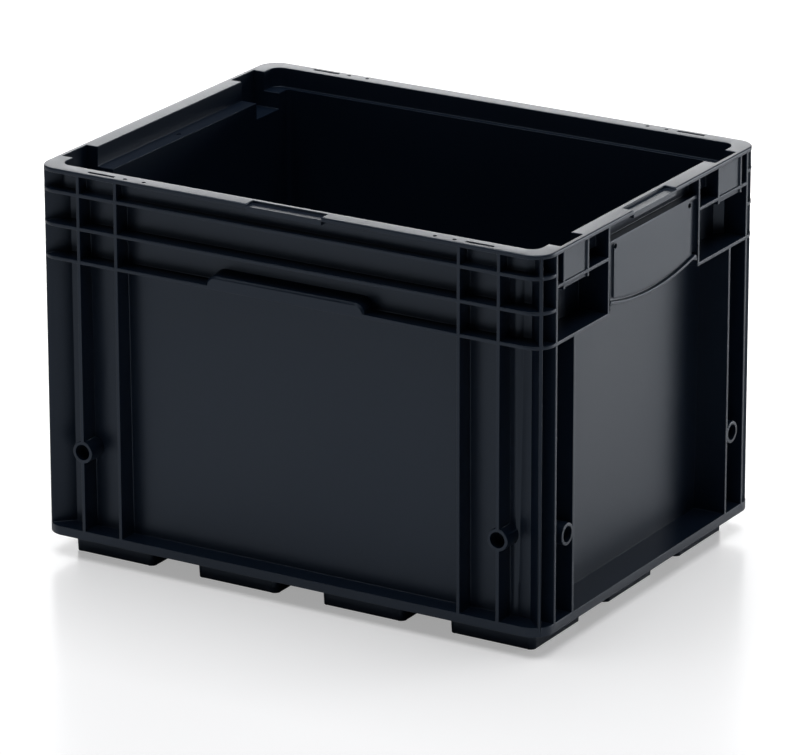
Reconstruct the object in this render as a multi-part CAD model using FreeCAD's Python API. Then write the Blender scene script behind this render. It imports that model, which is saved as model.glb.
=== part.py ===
import FreeCAD, Part
import math
import os

V = FreeCAD.Vector

# A moulded stacking tote of conductive plastic, one piece.
# Origin at the bottom centre, X along the long side, Y across it, Z up. Millimetres.

# Overall envelope, shared by the rim, the rib edges and the base skirt
LENGTH = 396.0
WIDTH = 297.0
HEIGHT = 280.0
CORNER_R = 15.0

# Tub walls: the outer face stands back from the envelope and leans in a little towards the floor
SIDE_INSET = 13.0           # long wall, at the ledge
END_INSET = 22.0            # short wall, at the ledge
WALL_DRAFT = 2.0            # how far each wall leans in from the ledge to the floor
WALL = 2.8
TUB_CORNER_R = 7.0

# Base: floor, skirt round it, ring feet under it
SKIRT_BOTTOM_Z = 15.7
SKIRT_TOP_Z = 22.4
SKIRT_WALL = 2.6
FLOOR_T = 2.8
FOOT_SIDE = 66.0
FOOT_PITCH = 100.0
FEET_LONG, FEET_SHORT = 4, 3
FOOT_R = 4.5
FOOT_TAPER = 0.8            # per side, from the floor down to the sole
FOOT_WALL = 2.6
FOOT_WEB = 1.8
FOOT_WEB_RISE = 2.5         # the cross webs stop this far above the sole

# Rim, collar and inner ledge
RIM_T = 3.0
RIM_W_SIDE = 12.0           # rim width along the long sides
RIM_W_END = 12.5            # rim width along the short sides
COLLAR_WALL = 2.9
COLLAR_R = 8.0
LEDGE_DROP = 14.0           # rim top down to the ledge the lid or next tote sits on
LEDGE_T = 3.0
CHEEK_OUT = 2.2             # the middle of each collar side bulges out under the rim
CHEEK_LOW = 1.0             # and this much at its foot
RIM_EDGE = 0.6              # bevel round the rim's top edge
LEDGE_MARK_R = 1.9          # round mark in the middle of each short ledge
LEDGE_MARK_DEEP = 0.8

# Ribs
RIB = 2.5
BAND_DROP = (63.4, 39.8, 16.1)          # three bands round the long sides and the corners, below the rim
POST_X = (133.8, 163.9)                 # pairs of upright ribs on the long sides
END_POST_Y = 131.2                      # upright rib next to each corner on the short sides
GRIP_POST_Y = 62.2                      # upright ribs beside the short side's grip
LOW_POST_Y = 107.3                      # upright ribs beside the short side's panel
NOTCH_Y = (90.2, 121.9)                 # ribs either side of the latch pocket
SHELF_DROP = 24.5                       # short shelf under the latch pockets, below the rim
NUB = 2.6                               # the latch pocket's ribs run this far past the shelf

# Latch pockets, open to the inside, two on each short side
LATCH_FACE_SINK = 1.2
LATCH_SKIN = 2.6

# Sockets on the outside, for tie bars
SOCKET_R = 7.8
SOCKET_BORE_R = 5.6
SOCKET_BORE_DEPTH = 11.0
SOCKET_Z = 79.9

# Grip in the middle of each long side
BAR_HALF = 62.0
BAR_TOP_DROP = 53.0         # top of the bar, below the rim
BAR_FALL = 2.2              # the top falls this far from the wall to the front
BAR_R = 8.0
BAR_SKIN = 2.5
BAR_ROOM_R = 3.2            # the finger room has tighter corners than the bar's outside
BAR_EDGE = 1.4              # bevel round the bar's front

# Apron grip in the middle of each short side
APRON_TOP_DROP = 14.0       # top of the apron, below the rim
APRON_SINK = 2.8            # its ground stands back from the envelope by this
APRON_SKIN = 2.6
APRON_PAD = 1.3             # the pad on it stands proud by this
APRON_LIP = 2.6             # the lip along its lower edge stands proud by this
APRON_LIP_W = 2.3
APRON_GROOVE = 2.0          # between the lip and the pad
APRON_LOW_DROP = 64.7       # lowest point of the curved edge, below the rim
APRON_SAG = 8.3             # the edge rises this much at its ends
PAD_HALF = 53.0
HOOK_START_Y = 55.0         # the lip bends down from here to the grip's upright rib
HOOK_DROP = 4.4
HOOK_GAP = 2.6              # opening left above the bent end
APRON_HOLE_R = 1.9
APRON_HOLE_DROP = 5.0

# Rim openings, and the thumb recesses on the front and on the right
RIM_SLOT = (137.0, 157.6, 2.6)          # from, to, width
RIM_PIN_X = (113.3, 128.2)
RIM_PIN_R = 1.45
RIM_ROW_IN = 5.0                        # the row of slots and pin holes, in from the edge
THUMB_HALF = 29.3
THUMB_W = 8.8
THUMB_DEEP = 1.7
THUMB_PAD_DROP = 2.6                    # the rim is this much thicker under a thumb recess
CUT = 1.0                               # how far cutters run past what they cut

# Values that follow from the ones above
HX, HY = LENGTH / 2, WIDTH / 2
RIM_Z = HEIGHT - RIM_T
LEDGE_Z = HEIGHT - LEDGE_DROP
LEDGE_UNDER = LEDGE_Z - LEDGE_T
TUB_X, TUB_Y = HX - END_INSET, HY - SIDE_INSET
COLLAR_X, COLLAR_Y = HX - RIM_W_END, HY - RIM_W_SIDE
APRON_X = HX - APRON_SINK
BAND_Z = [HEIGHT - drop for drop in BAND_DROP]
SHELF_Z = HEIGHT - SHELF_DROP
BAR_TOP_Z = HEIGHT - BAR_TOP_DROP
APRON_TOP_Z = HEIGHT - APRON_TOP_DROP
APRON_LOW_Z = HEIGHT - APRON_LOW_DROP


def block(x0, x1, y0, y1, z0, z1):
    """Box between two opposite corners, given in any order."""
    lo = [min(a, b) for a, b in ((x0, x1), (y0, y1), (z0, z1))]
    hi = [max(a, b) for a, b in ((x0, x1), (y0, y1), (z0, z1))]
    return Part.makeBox(hi[0] - lo[0], hi[1] - lo[1], hi[2] - lo[2], V(*lo))


def round_rect(hx, hy, r, z, cx=0.0, cy=0.0):
    """Closed wire: a rectangle with rounded corners, half sides hx and hy."""
    q = r * (1 - math.sqrt(0.5))
    edges = []
    for sx, sy, turn in ((1, -1, 0), (1, 1, 1), (-1, 1, 0), (-1, -1, 1)):
        a = V(cx + sx * (hx - r), cy + sy * hy, z)
        m = V(cx + sx * (hx - q), cy + sy * (hy - q), z)
        b = V(cx + sx * hx, cy + sy * (hy - r), z)
        if turn:
            a, b = b, a
        edges.append((a, m, b))
    out = []
    for i, (a, m, b) in enumerate(edges):
        out.append(Part.Arc(a, m, b).toShape())
        out.append(Part.LineSegment(b, edges[(i + 1) % 4][0]).toShape())
    return Part.Wire(out)


def slab(hx, hy, r, z0, z1):
    """Upright prism on a rounded rectangle."""
    return Part.Face(round_rect(hx, hy, r, z0)).extrude(V(0, 0, z1 - z0))


def drafted(hx, hy, r, lean, z0, z1):
    """Block with rounded corners, sized at z1; its walls lean in by `lean` down to z0."""
    def profile(half):
        return [(-half + lean, z0), (half - lean, z0), (half, z1), (-half, z1)]
    form = outline([V(u, -hy, z) for u, z in profile(hx)], 2 * hy, V(0, 1, 0))
    form = form.common(outline([V(-hx, u, z) for u, z in profile(hy)], 2 * hx, V(1, 0, 0)))
    upright = [e for e in form.Edges if e.BoundBox.ZLength > (z1 - z0) / 2]
    return form.makeFillet(r, upright)


def outline(points, thick, normal):
    """Prism on a polygon."""
    return Part.Face(Part.makePolygon(points + points[:1])).extrude(normal * thick)


def both_x(shape):
    return [shape, shape.mirror(V(0, 0, 0), V(1, 0, 0))]


def both_y(shape):
    return [shape, shape.mirror(V(0, 0, 0), V(0, 1, 0))]


def four(shape):
    return [m for s in both_x(shape) for m in both_y(s)]


def lean_at(z):
    """How far the tub's walls stand in at height z, from their place at the ledge."""
    return WALL_DRAFT * (LEDGE_Z - z) / (LEDGE_Z - SKIRT_TOP_Z)


def tub_form(z0, z1, skin=0.0):
    """The tub's outer form between two heights, or the room inside its skin."""
    top = lean_at(z1)
    return drafted(TUB_X - top - skin, TUB_Y - top - skin, TUB_CORNER_R - skin,
                   lean_at(z0) - top, z0, z1)


def collar():
    """Upper wall under the rim, with its ledge, and the rim itself."""
    outer = slab(COLLAR_X + COLLAR_WALL, COLLAR_Y + COLLAR_WALL, COLLAR_R + COLLAR_WALL,
                 LEDGE_UNDER, RIM_Z)
    rim = slab(HX, HY, CORNER_R, RIM_Z, HEIGHT)
    edges = [e for e in rim.Edges if abs(e.CenterOfMass.z - HEIGHT) < 0.01]
    return [outer, rim.makeChamfer(RIM_EDGE, edges)]


def ledge_marks():
    x = (COLLAR_X + TUB_X - WALL) / 2
    return both_x(rod(LEDGE_MARK_R, LEDGE_MARK_DEEP + CUT, V(x, 0, LEDGE_Z - LEDGE_MARK_DEEP), V(0, 0, 1)))


def cheeks():
    """The middle of each collar side leans out towards the rim."""
    bands = []
    y0 = COLLAR_Y + COLLAR_WALL
    side = [V(-POST_X[0], -y0 + WALL, LEDGE_UNDER), V(-POST_X[0], -y0 - CHEEK_LOW, LEDGE_UNDER),
            V(-POST_X[0], -y0 - CHEEK_OUT, RIM_Z - LEDGE_T), V(-POST_X[0], -y0 - CHEEK_OUT, RIM_Z),
            V(-POST_X[0], -y0 + WALL, RIM_Z)]
    bands += both_y(outline(side, 2 * POST_X[0], V(1, 0, 0)))
    x0 = COLLAR_X + COLLAR_WALL
    end = [V(x0 - WALL, -GRIP_POST_Y, LEDGE_UNDER), V(x0 + CHEEK_LOW, -GRIP_POST_Y, LEDGE_UNDER),
           V(x0 + CHEEK_OUT, -GRIP_POST_Y, RIM_Z - LEDGE_T), V(x0 + CHEEK_OUT, -GRIP_POST_Y, RIM_Z),
           V(x0 - WALL, -GRIP_POST_Y, RIM_Z)]
    bands += both_x(outline(end, 2 * GRIP_POST_Y, V(0, 1, 0)))
    return bands


def bands():
    """Three rib bands; they stop at the short sides' upright ribs."""
    out = []
    for i, z in enumerate(BAND_Z):
        ring = slab(HX, HY, CORNER_R, z - RIB / 2, z + RIB / 2)
        stop = GRIP_POST_Y if i == 0 else END_POST_Y
        for gap in both_x(block(TUB_X - WALL, HX + CUT, -stop, stop, z - RIB, z + RIB)):
            ring = ring.cut(gap)
        out.append(ring)
    return out


def posts():
    """Upright ribs, out to the envelope."""
    out = []
    y_in, x_in = TUB_Y - WALL_DRAFT - WALL, TUB_X - WALL_DRAFT - WALL
    for x in POST_X:
        out += four(block(x - RIB / 2, x + RIB / 2, y_in, HY, SKIRT_TOP_Z, RIM_Z))
    short = [(END_POST_Y, SKIRT_TOP_Z, RIM_Z), (GRIP_POST_Y, BAND_Z[0] - RIB / 2, RIM_Z),
             (LOW_POST_Y, SKIRT_TOP_Z, BAND_Z[0])]
    short += [(y, SHELF_Z - RIB / 2 - NUB, RIM_Z) for y in NOTCH_Y]
    for y, z0, z1 in short:
        out += four(block(x_in, HX, y - RIB / 2, y + RIB / 2, z0, z1))
    out += four(block(x_in, HX, GRIP_POST_Y, END_POST_Y, SHELF_Z - RIB / 2, SHELF_Z + RIB / 2))
    return out


def corner_webs():
    """A diagonal web from the tub's corner to the rounded corner of the envelope."""
    arc = V(HX - CORNER_R, HY - CORNER_R, SKIRT_TOP_Z)
    reach = math.hypot(HX - TUB_X, HY - TUB_Y) + CORNER_R
    web = Part.makeBox(reach + CORNER_R, RIB, RIM_Z - SKIRT_TOP_Z, V(-reach, -RIB / 2, 0))
    web.rotate(V(0, 0, 0), V(0, 0, 1), 45)
    web.translate(arc)
    web = web.common(slab(HX, HY, CORNER_R, SKIRT_TOP_Z, RIM_Z))
    return four(web)


def latch_pockets():
    face = HX - LATCH_FACE_SINK
    return four(block(TUB_X - WALL, face, NOTCH_Y[0], NOTCH_Y[1], SHELF_Z - RIB / 2 - NUB, RIM_Z))


def latch_rooms():
    back = HX - LATCH_FACE_SINK - LATCH_SKIN
    return four(block(TUB_X - END_INSET, back, NOTCH_Y[0] + RIB / 2, NOTCH_Y[1] - RIB / 2,
                      SHELF_Z - RIB / 2, HEIGHT + CUT))


def skirt():
    skin = slab(HX, HY, CORNER_R, SKIRT_BOTTOM_Z, SKIRT_TOP_Z)
    hollow = slab(HX - SKIRT_WALL, HY - SKIRT_WALL, CORNER_R - SKIRT_WALL,
                  SKIRT_BOTTOM_Z - CUT, SKIRT_TOP_Z - FLOOR_T)
    return skin.cut(hollow)


def foot():
    """Open ring with a cross web inside, under the middle of the floor."""
    top, half = SKIRT_TOP_Z - FLOOR_T, FOOT_SIDE / 2
    arm = half - FOOT_TAPER - FOOT_WALL
    ring = drafted(half, half, FOOT_R, FOOT_TAPER, 0, top)
    ring = ring.cut(block(-arm, arm, -arm, arm, -CUT, top))
    reach, w = arm + FOOT_WALL / 2, FOOT_WEB / 2
    web = block(-reach, reach, -w, w, FOOT_WEB_RISE, top)
    return ring.multiFuse([web, block(-w, w, -reach, reach, FOOT_WEB_RISE, top)])


def feet():
    out = []
    for i in range(FEET_LONG):
        for j in range(FEET_SHORT):
            one = foot()
            one.translate(V((i - (FEET_LONG - 1) / 2) * FOOT_PITCH, (j - (FEET_SHORT - 1) / 2) * FOOT_PITCH, 0))
            out.append(one)
    return out


def rod(r, length, base, axis):
    return Part.makeCylinder(r, length, base, axis)


def socket_places():
    """Front centre and outward direction of the sockets on one quarter."""
    side = (V(POST_X[1], HY, SOCKET_Z), V(0, 1, 0), SIDE_INSET + WALL_DRAFT)
    end = (V(HX, LOW_POST_Y + SOCKET_R, SOCKET_Z), V(1, 0, 0), END_INSET + WALL_DRAFT)
    return side, end


def sockets():
    out = []
    for front, way, deep in socket_places():
        out += four(rod(SOCKET_R, deep, front - way * deep, way))
    return out


def socket_bores():
    out = []
    for front, way, deep in socket_places():
        out += four(rod(SOCKET_BORE_R, SOCKET_BORE_DEPTH + CUT, front - way * SOCKET_BORE_DEPTH, way))
    return out


def arch(half, z0, top, r, y):
    """Wire in an XZ plane: flat bottom, rounded upper corners."""
    q = r * (1 - math.sqrt(0.5))
    pts = [V(-half, y, z0), V(half, y, z0), V(half, y, top - r), V(half - r, y, top),
           V(-half + r, y, top), V(-half, y, top - r)]
    seg = Part.LineSegment
    edges = [seg(pts[0], pts[1]), seg(pts[1], pts[2]),
             Part.Arc(pts[2], V(half - q, y, top - q), pts[3]), seg(pts[3], pts[4]),
             Part.Arc(pts[4], V(-half + q, y, top - q), pts[5]), seg(pts[5], pts[0])]
    return Part.Wire([e.toShape() for e in edges])


def bar_grips():
    """Closed-topped bar on each long side, open underneath for the fingers."""
    z0, deep = BAND_Z[0] - RIB / 2, HY - TUB_Y + WALL_DRAFT
    face = arch(BAR_HALF, z0 - BAR_FALL - BAR_R, BAR_TOP_Z - BAR_FALL, BAR_R, -HY)
    bar = Part.Face(face).extrude(V(0, deep, BAR_FALL))
    front = [e for e in bar.Edges if abs(e.CenterOfMass.y + HY) < 0.01 and e.CenterOfMass.z > z0 - 1]
    bar = bar.makeChamfer(BAR_EDGE, front)
    return both_y(bar.common(block(-BAR_HALF, BAR_HALF, -HY, -HY + deep, z0, BAR_TOP_Z)))


def bar_rooms():
    z0, half = BAND_Z[0] - RIB / 2, BAR_HALF - BAR_SKIN
    face = arch(half, z0 - BAR_FALL - CUT, BAR_TOP_Z - BAR_FALL - BAR_SKIN, BAR_ROOM_R, -HY + BAR_SKIN)
    return both_y(Part.Face(face).extrude(V(0, HY - TUB_Y - BAR_SKIN, BAR_FALL)))


def apron_edge(x, rise):
    """Lower edge of the apron, as an arc between the two grip ribs."""
    half, low = GRIP_POST_Y, APRON_LOW_Z + rise
    return Part.Arc(V(x, half, low + APRON_SAG), V(x, 0, low), V(x, -half, low + APRON_SAG))


def apron_panel(x0, x1, half, top, rise):
    """Panel with the curved lower edge, cut to a half width."""
    w = GRIP_POST_Y
    z1 = APRON_LOW_Z + rise + APRON_SAG
    seg = Part.LineSegment
    wire = Part.Wire([seg(V(x0, -w, z1), V(x0, -w, top)).toShape(),
                      seg(V(x0, -w, top), V(x0, w, top)).toShape(),
                      seg(V(x0, w, top), V(x0, w, z1)).toShape(),
                      apron_edge(x0, rise).toShape()])
    panel = Part.Face(wire).extrude(V(x1 - x0, 0, 0))
    return panel.common(block(x0, x1, -half, half, 0, top))


def apron_edge_z(y):
    """Height of the apron's curved lower edge, taken as a parabola."""
    return APRON_LOW_Z + APRON_SAG * (y / GRIP_POST_Y) ** 2


def apron_hook(x0, x1):
    """The lip's end, bent down to the grip's upright rib."""
    za = apron_edge_z(HOOK_START_Y)
    zb = apron_edge_z(GRIP_POST_Y) - HOOK_DROP
    pts = [V(x0, HOOK_START_Y, za), V(x0, GRIP_POST_Y, zb), V(x0, GRIP_POST_Y, zb + APRON_LIP_W),
           V(x0, HOOK_START_Y, za + APRON_LIP_W)]
    return outline(pts, x1 - x0, V(1, 0, 0))


def hook_gaps():
    """Three-cornered openings above the lip's bent ends."""
    y0, y1 = HOOK_START_Y + APRON_LIP_W, GRIP_POST_Y - RIB / 2
    z = apron_edge_z(y1) + APRON_LIP_W
    x0 = APRON_X - APRON_SKIN - CUT
    pts = [V(x0, y0, z), V(x0, y1, z - HOOK_GAP), V(x0, y1, z)]
    return four(outline(pts, HX + CUT - x0, V(1, 0, 0)))


def aprons():
    out = both_x(apron_panel(APRON_X - APRON_SKIN, APRON_X, GRIP_POST_Y, APRON_TOP_Z, 0))
    rise = APRON_LIP_W + APRON_GROOVE
    out += both_x(apron_panel(APRON_X - CUT, APRON_X + APRON_PAD, PAD_HALF, APRON_TOP_Z, rise))
    lip = apron_panel(APRON_X - CUT, APRON_X + APRON_LIP, GRIP_POST_Y, APRON_TOP_Z, 0)
    lip = lip.cut(apron_panel(APRON_X - 2 * CUT, HX + CUT, GRIP_POST_Y, APRON_TOP_Z, APRON_LIP_W))
    out += [m for h in both_y(apron_hook(APRON_X - CUT, APRON_X + APRON_LIP)) for m in both_x(lip.fuse(h))]
    out += both_x(block(TUB_X, APRON_X + APRON_PAD, -GRIP_POST_Y, GRIP_POST_Y,
                        APRON_TOP_Z - APRON_SKIN, APRON_TOP_Z))
    return out


def apron_holes():
    y, z = PAD_HALF - APRON_HOLE_R, APRON_TOP_Z - APRON_HOLE_DROP
    return four(rod(APRON_HOLE_R, 2 * END_INSET, V(TUB_X + END_INSET / 2, y, z), V(1, 0, 0)))


def thumb_blocks(z0, z1, past=0.0):
    """Blocks along the rim's outer edge, in the middle of the front and of the right side."""
    front = block(-THUMB_HALF, THUMB_HALF, -HY - past, -HY + THUMB_W, z0, z1)
    return [front, block(HX - THUMB_W, HX + past, -THUMB_HALF, THUMB_HALF, z0, z1)]


def rim_openings():
    y, z0, z1 = HY - RIM_ROW_IN, RIM_Z - CUT, HEIGHT + CUT
    a, b, w = RIM_SLOT
    out = four(block(a, b, y - w / 2, y + w / 2, z0, z1))
    for x in RIM_PIN_X:
        out += four(rod(RIM_PIN_R, z1 - z0, V(x, y, z0), V(0, 0, 1)))
    return out


def tote():
    solids = collar() + cheeks() + bands() + posts() + corner_webs() + latch_pockets()
    solids += [skirt()] + sockets() + bar_grips() + aprons()
    solids += thumb_blocks(RIM_Z - THUMB_PAD_DROP, RIM_Z)
    body = tub_form(SKIRT_TOP_Z - FLOOR_T, LEDGE_Z).multiFuse(solids)
    cuts = [tub_form(SKIRT_TOP_Z, LEDGE_Z + CUT, WALL),
            slab(COLLAR_X, COLLAR_Y, COLLAR_R, LEDGE_Z, HEIGHT + CUT)]
    cuts += latch_rooms() + socket_bores() + bar_rooms() + apron_holes() + hook_gaps()
    cuts += thumb_blocks(HEIGHT - THUMB_DEEP, HEIGHT + CUT, CUT) + rim_openings() + ledge_marks()
    body = body.cut(Part.makeCompound(cuts))
    body = body.multiFuse(feet())
    body = body.removeSplitter()
    if len(body.Solids) == 1:
        body = body.Solids[0]
    return body


os.makedirs("parts", exist_ok=True)
body = tote()
print("solids", len(body.Solids), "valid", body.isValid(), "volume", round(body.Volume / 1000.0, 1), "cm3")
box = body.BoundBox
print("box", [round(v, 3) for v in (box.XMin, box.XMax, box.YMin, box.YMax, box.ZMin, box.ZMax)])
body.exportStep("parts/tote_body.step")
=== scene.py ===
import math

import bmesh
import bpy
from bpy.props import FloatProperty, FloatVectorProperty, IntProperty, PointerProperty
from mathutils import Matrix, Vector


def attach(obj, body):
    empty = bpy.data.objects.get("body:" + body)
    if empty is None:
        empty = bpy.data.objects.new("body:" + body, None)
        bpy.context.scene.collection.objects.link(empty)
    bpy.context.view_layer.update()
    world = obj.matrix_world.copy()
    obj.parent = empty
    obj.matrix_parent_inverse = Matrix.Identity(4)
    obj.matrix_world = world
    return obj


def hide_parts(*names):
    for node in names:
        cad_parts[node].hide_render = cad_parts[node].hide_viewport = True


bl_info = {
    "name": "Conductive Storage Tote",
    "version": (1, 0, 0),
    "blender": (4, 5, 0),
    "location": "View3D > Sidebar > Tote",
    "description": "A moulded stacking tote of black conductive plastic on a pale studio floor",
    "category": "Object",
}

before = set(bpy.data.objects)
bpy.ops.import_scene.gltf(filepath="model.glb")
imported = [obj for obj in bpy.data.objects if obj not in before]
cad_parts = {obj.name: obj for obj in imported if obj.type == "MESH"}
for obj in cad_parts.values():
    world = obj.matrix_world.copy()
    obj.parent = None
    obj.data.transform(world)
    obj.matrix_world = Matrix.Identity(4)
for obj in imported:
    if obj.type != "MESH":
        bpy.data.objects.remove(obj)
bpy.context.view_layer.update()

# The body's mesh
SLIVER = 0.00005            # points closer than this are one, so that no sliver spoils a rounded edge
CREASE = math.radians(32)   # edges that turn more than this are rounded, or crisp if very short
FLAT_WEIGHT = 100           # how far large flat faces set the shading at their edges

# The moulded skin
GRAIN_SCALE = 1500.0        # spark-eroded grain, well under a millimetre
GRAIN_STRENGTH = 0.16
GRAIN_HEIGHT = 0.0002
SPECK_SCALE = 420.0
CLOUD_SCALE = 9.0           # flow clouds, about a hand wide
SPECK_SHARE, CLOUD_SHARE = 0.6, 0.4
TONE_SPREAD = 0.12          # the colour runs this share darker and lighter
GLOSS_SPREAD = 0.08
PLASTIC_IOR = 1.5

# The studio
FLOOR_HALF = 12.0
FLOOR_ROUGHNESS = 0.22
FLOOR_IOR = 1.35
FLOOR_WHITE = 6.8           # strength of the plain white in the floor
SOFT_BOXES = (              # name, setting with its watts, size, place, aim
    ("side_box", "side_light", (1.8, 0.8), (2.0, 2.3, 0.45), (0.1, 0.0, 0.12)),
    ("front_box", "front_light", (2.0, 0.8), (-1.4, -2.8, 0.5), (0.0, 0.0, 0.1)),
    ("top_box", "top_light", (3.0, 3.0), (0.0, 0.0, 3.0), (0.0, 0.0, 0.1)),
    ("back_box", "back_light", (2.8, 0.9), (-2.3, 3.3, 1.0), (0.0, 0.0, 0.25)),
)

# The photograph's frame, and a camera with no roll and a long lens, at the right front
IMAGE_W, IMAGE_H = 800, 755
SENSOR = 36.0
FOCAL_PX = 5803.7
CENTRE_PX = (430.1, 317.5)
CAMERA_AT = (1.9486, -3.2283, 1.4389)
CAMERA_TURN = 30.8          # degrees round from the front
CAMERA_DIP = 18.7           # degrees below the horizon


class ToteSettings(bpy.types.PropertyGroup):
    edge_radius: FloatProperty(name="Edge radius", description="Rounding of the moulded edges",
                               default=0.00045, unit="LENGTH", subtype="DISTANCE")
    edge_least: FloatProperty(name="Shortest edge", description="Edges shorter than this stay crisp",
                              default=0.001, unit="LENGTH", subtype="DISTANCE")
    edge_steps: IntProperty(name="Edge steps", description="Facets across one rounded edge",
                            default=2, min=1, max=4)
    plastic: FloatVectorProperty(name="Plastic", description="Colour of the carbon-filled plastic",
                                 subtype="COLOR", size=3, default=(0.0030, 0.0072, 0.0165), min=0, max=1)
    sheen_tint: FloatVectorProperty(name="Sheen tint", description="Cool cast of the skin, seen face on",
                                    subtype="COLOR", size=3, default=(0.72, 0.84, 1.0), min=0, max=1)
    gloss: FloatProperty(name="Roughness", description="Roughness of the moulded skin",
                         default=0.33, min=0, max=1)


class StageSettings(bpy.types.PropertyGroup):
    floor: FloatVectorProperty(name="Floor", description="Colour of the studio floor",
                               subtype="COLOR", size=3, default=(0.92, 0.92, 0.935), min=0, max=1)
    floor_glow: FloatProperty(name="Floor white", description="Share of plain white that the camera sees",
                              default=0.05, min=0, max=1)
    side_light: FloatProperty(name="Side light", description="Watts of the soft box at the right",
                              default=29.0)
    front_light: FloatProperty(name="Front light", description="Watts of the soft box at the front left",
                               default=3.0)
    top_light: FloatProperty(name="Top light", description="Watts of the soft box overhead", default=80.0)
    back_light: FloatProperty(name="Back light", description="Watts of the soft box behind", default=44.0)
    sky: FloatProperty(name="Sky", description="Strength of the even surround", default=0.06)


class Wire:
    """An output socket that can be used in arithmetic."""

    def __init__(self, graph, socket):
        self.graph = graph
        self.socket = socket

    def _maths(self, operation, a, b):
        return self.graph.node("ShaderNodeMath", {"operation": operation}, (a, b))

    def __add__(self, other):
        return self._maths("ADD", self, other)

    __radd__ = __add__

    def __mul__(self, other):
        return self._maths("MULTIPLY", self, other)

    __rmul__ = __mul__


class Graph:
    """The node tree of one material or world."""

    def __init__(self, owner):
        owner.use_nodes = True
        self.tree = owner.node_tree
        self.tree.nodes.clear()

    def node(self, kind, settings, inputs, out=0):
        """Adds a node: its settings first, then its sockets, by place or by name."""
        made = self.tree.nodes.new(kind)
        for key, value in settings.items():
            if key == "ramp":
                stops = made.color_ramp.elements
                while len(stops) < len(value):
                    stops.new(1.0)
                for stop, (at, tone) in zip(stops, value):
                    stop.position, stop.color = at, (tone, tone, tone, 1.0)
            else:
                setattr(made, key, value)
        pairs = inputs.items() if isinstance(inputs, dict) else enumerate(inputs)
        for key, value in pairs:
            if isinstance(value, Wire):
                self.tree.links.new(value.socket, made.inputs[key])
            elif value is not None:
                made.inputs[key].default_value = value
        return Wire(self, made.outputs[out]) if made.outputs else made


def new_object(name, mesh):
    ob = bpy.data.objects.new(name, mesh)
    bpy.context.scene.collection.objects.link(ob)
    return ob


def finish_piece(ob, body, slot_name, *replaced):
    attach(ob, body)
    if replaced:
        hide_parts(*replaced)


def plastic_material(cfg):
    """Satin black plastic: even colour, a fine spark-eroded grain, faint flow clouds in the gloss."""
    mat = bpy.data.materials.new("conductive_plastic")
    g = Graph(mat)
    at = g.node("ShaderNodeTexCoord", {}, (), "Object")
    grain = g.node("ShaderNodeTexNoise", {"noise_dimensions": "3D"},
                   {"Vector": at, "Scale": GRAIN_SCALE, "Detail": 2.0, "Roughness": 0.55})
    clouds = g.node("ShaderNodeTexNoise", {},
                    {"Vector": at, "Scale": CLOUD_SCALE, "Detail": 3.0, "Roughness": 0.5})
    specks = g.node("ShaderNodeTexNoise", {},
                    {"Vector": at, "Scale": SPECK_SCALE, "Detail": 3.0, "Roughness": 0.6})
    bump = g.node("ShaderNodeBump", {},
                  {"Strength": GRAIN_STRENGTH, "Distance": GRAIN_HEIGHT, "Height": grain})
    tint = g.node("ShaderNodeValToRGB", {"ramp": [(0.3, 0.0), (0.7, 1.0)]},
                  {"Fac": specks * SPECK_SHARE + clouds * CLOUD_SHARE})
    darker = tuple((1 - TONE_SPREAD) * c for c in cfg.plastic) + (1.0,)
    lighter = tuple((1 + TONE_SPREAD) * c for c in cfg.plastic) + (1.0,)
    colour = g.node("ShaderNodeMix", {"data_type": "RGBA"}, {0: tint, 6: darker, 7: lighter}, 2)
    rough = clouds * GLOSS_SPREAD + (cfg.gloss - GLOSS_SPREAD / 2)
    surf = g.node("ShaderNodeBsdfPrincipled", {},
                  {"Base Color": colour, "Roughness": rough, "Normal": bump, "IOR": PLASTIC_IOR,
                   "Specular Tint": tuple(cfg.sheen_tint) + (1.0,)})
    g.node("ShaderNodeOutputMaterial", {}, {"Surface": surf})
    return mat


def merged_copy(node, name, least):
    """The node's mesh as one welded skin, its creases marked for rounding or, if short, as crisp."""
    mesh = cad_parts[node].data.copy()
    mesh.name = name
    bm = bmesh.new()
    bm.from_mesh(mesh)
    bmesh.ops.remove_doubles(bm, verts=bm.verts, dist=SLIVER)
    bmesh.ops.dissolve_degenerate(bm, dist=SLIVER, edges=bm.edges)
    rounded = bm.edges.layers.float.new("bevel_weight_edge")
    for edge in bm.edges:
        if edge.calc_face_angle(0.0) > CREASE:
            if edge.calc_length() > least:
                edge[rounded] = 1.0
            else:
                edge.smooth = False
    for face in bm.faces:
        face.smooth = True
    bm.to_mesh(mesh)
    bm.free()
    mesh.materials.clear()
    return new_object(name, mesh)


class TOTE_OT_body(bpy.types.Operator):
    """The moulded tote: the whole body with rounded edges and a satin black skin"""

    bl_idname = "tote.body"
    bl_label = "Moulded body"

    def execute(self, context):
        cfg = context.scene.tote
        ob = merged_copy("tote_body", "tote_shell", cfg.edge_least)
        ob.data.materials.append(plastic_material(cfg))
        edge = ob.modifiers.new("Edges", "BEVEL")
        edge.width, edge.segments = cfg.edge_radius, cfg.edge_steps
        edge.limit_method = "WEIGHT"
        edge.use_clamp_overlap, edge.harden_normals = False, False
        edge.miter_outer = "MITER_SHARP"
        smooth = ob.modifiers.new("Flat areas", "WEIGHTED_NORMAL")
        smooth.mode, smooth.weight, smooth.keep_sharp = "FACE_AREA", FLAT_WEIGHT, True
        finish_piece(ob, "root", "body", "tote_body")
        return {"FINISHED"}


def soft_box(name, watts, size, at, aim):
    light = bpy.data.lights.new(name, "AREA")
    light.shape, light.size, light.size_y = "RECTANGLE", size[0], size[1]
    light.energy = watts
    ob = new_object(name, light)
    ob.location = Vector(at)
    ob.rotation_euler = (Vector(aim) - Vector(at)).to_track_quat("-Z", "Y").to_euler()
    return ob


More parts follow.
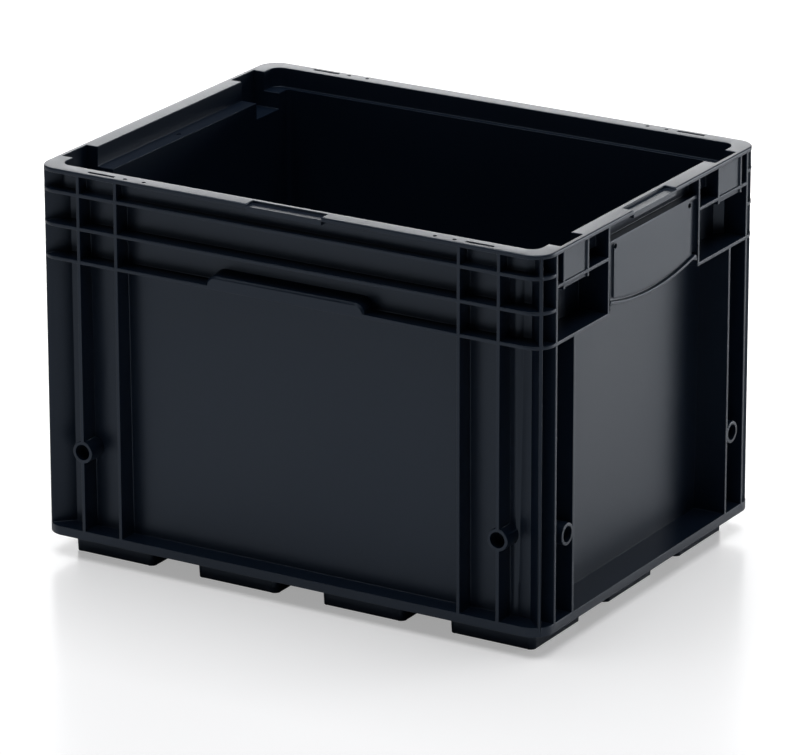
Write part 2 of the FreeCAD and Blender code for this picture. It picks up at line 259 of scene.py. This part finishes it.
def floor_material(cfg):
    mat = bpy.data.materials.new("studio_floor")
    g = Graph(mat)
    seen = g.node("ShaderNodeLightPath", {}, (), "Is Camera Ray")
    matt = g.node("ShaderNodeBsdfPrincipled", {},
                  {"Base Color": tuple(cfg.floor) + (1.0,), "Roughness": FLOOR_ROUGHNESS, "IOR": FLOOR_IOR})
    white = g.node("ShaderNodeEmission", {}, {"Color": (1, 1, 1, 1), "Strength": FLOOR_WHITE})
    mixed = g.node("ShaderNodeMixShader", {}, {0: seen * cfg.floor_glow, 1: matt, 2: white})
    g.node("ShaderNodeOutputMaterial", {}, {"Surface": mixed})
    return mat


def world_surround(cfg):
    world = bpy.data.worlds.new("studio")
    g = Graph(world)
    seen = g.node("ShaderNodeLightPath", {}, (), "Is Camera Ray")
    even = g.node("ShaderNodeBackground", {}, {"Color": (1, 1, 1, 1), "Strength": cfg.sky})
    white = g.node("ShaderNodeBackground", {}, {"Color": (1, 1, 1, 1), "Strength": 1.0})
    mixed = g.node("ShaderNodeMixShader", {}, {0: seen, 1: even, 2: white})
    g.node("ShaderNodeOutputWorld", {}, {"Surface": mixed})
    bpy.context.scene.world = world


def photo_camera():
    cam = bpy.data.cameras.new("camera")
    cam.sensor_fit, cam.sensor_width = "HORIZONTAL", SENSOR
    cam.lens = FOCAL_PX * SENSOR / IMAGE_W
    cam.shift_x = (IMAGE_W / 2 - CENTRE_PX[0]) / IMAGE_W
    cam.shift_y = (CENTRE_PX[1] - IMAGE_H / 2) / IMAGE_W
    cam.clip_start, cam.clip_end = 0.1, 100.0
    ob = new_object("camera", cam)
    ob.location = CAMERA_AT
    ob.rotation_euler = (math.radians(90 - CAMERA_DIP), 0.0, math.radians(CAMERA_TURN))
    bpy.context.scene.camera = ob


class TOTE_OT_stage(bpy.types.Operator):
    """Pale floor, soft boxes, surround and the camera"""

    bl_idname = "tote.stage"
    bl_label = "Studio"

    def execute(self, context):
        cfg = context.scene.tote_stage
        bm = bmesh.new()
        bmesh.ops.create_grid(bm, x_segments=1, y_segments=1, size=FLOOR_HALF)
        mesh = bpy.data.meshes.new("floor")
        bm.to_mesh(mesh)
        bm.free()
        floor = new_object("floor", mesh)
        mesh.materials.append(floor_material(cfg))
        for name, watts, size, at, aim in SOFT_BOXES:
            soft_box(name, getattr(cfg, watts), size, at, aim)
        world_surround(cfg)
        photo_camera()
        context.scene.view_settings.view_transform = "Standard"
        return {"FINISHED"}


class TOTE_PT_panel(bpy.types.Panel):
    """Lists the pieces and their settings"""

    bl_label = "Tote"
    bl_idname = "TOTE_PT_panel"
    bl_space_type = "VIEW_3D"
    bl_region_type = "UI"
    bl_category = "Tote"

    def draw(self, context):
        for cfg, operators in ((context.scene.tote, PIECES), (context.scene.tote_stage, STAGE)):
            box = self.layout.box()
            for key in cfg.__annotations__:
                box.prop(cfg, key)
            for kind in operators:
                box.operator(kind.bl_idname)


PIECES = (TOTE_OT_body,)
STAGE = (TOTE_OT_stage,)
CLASSES = (ToteSettings, StageSettings) + PIECES + STAGE + (TOTE_PT_panel,)


def register():
    for kind in CLASSES:
        bpy.utils.register_class(kind)
    bpy.types.Scene.tote = PointerProperty(type=ToteSettings)
    bpy.types.Scene.tote_stage = PointerProperty(type=StageSettings)


def unregister():
    del bpy.types.Scene.tote_stage
    del bpy.types.Scene.tote
    for kind in reversed(CLASSES):
        bpy.utils.unregister_class(kind)


def main():
    register()
    bpy.ops.tote.body()
    bpy.ops.tote.stage()
    bpy.context.view_layer.update()


if __name__ == "__main__":
    main()
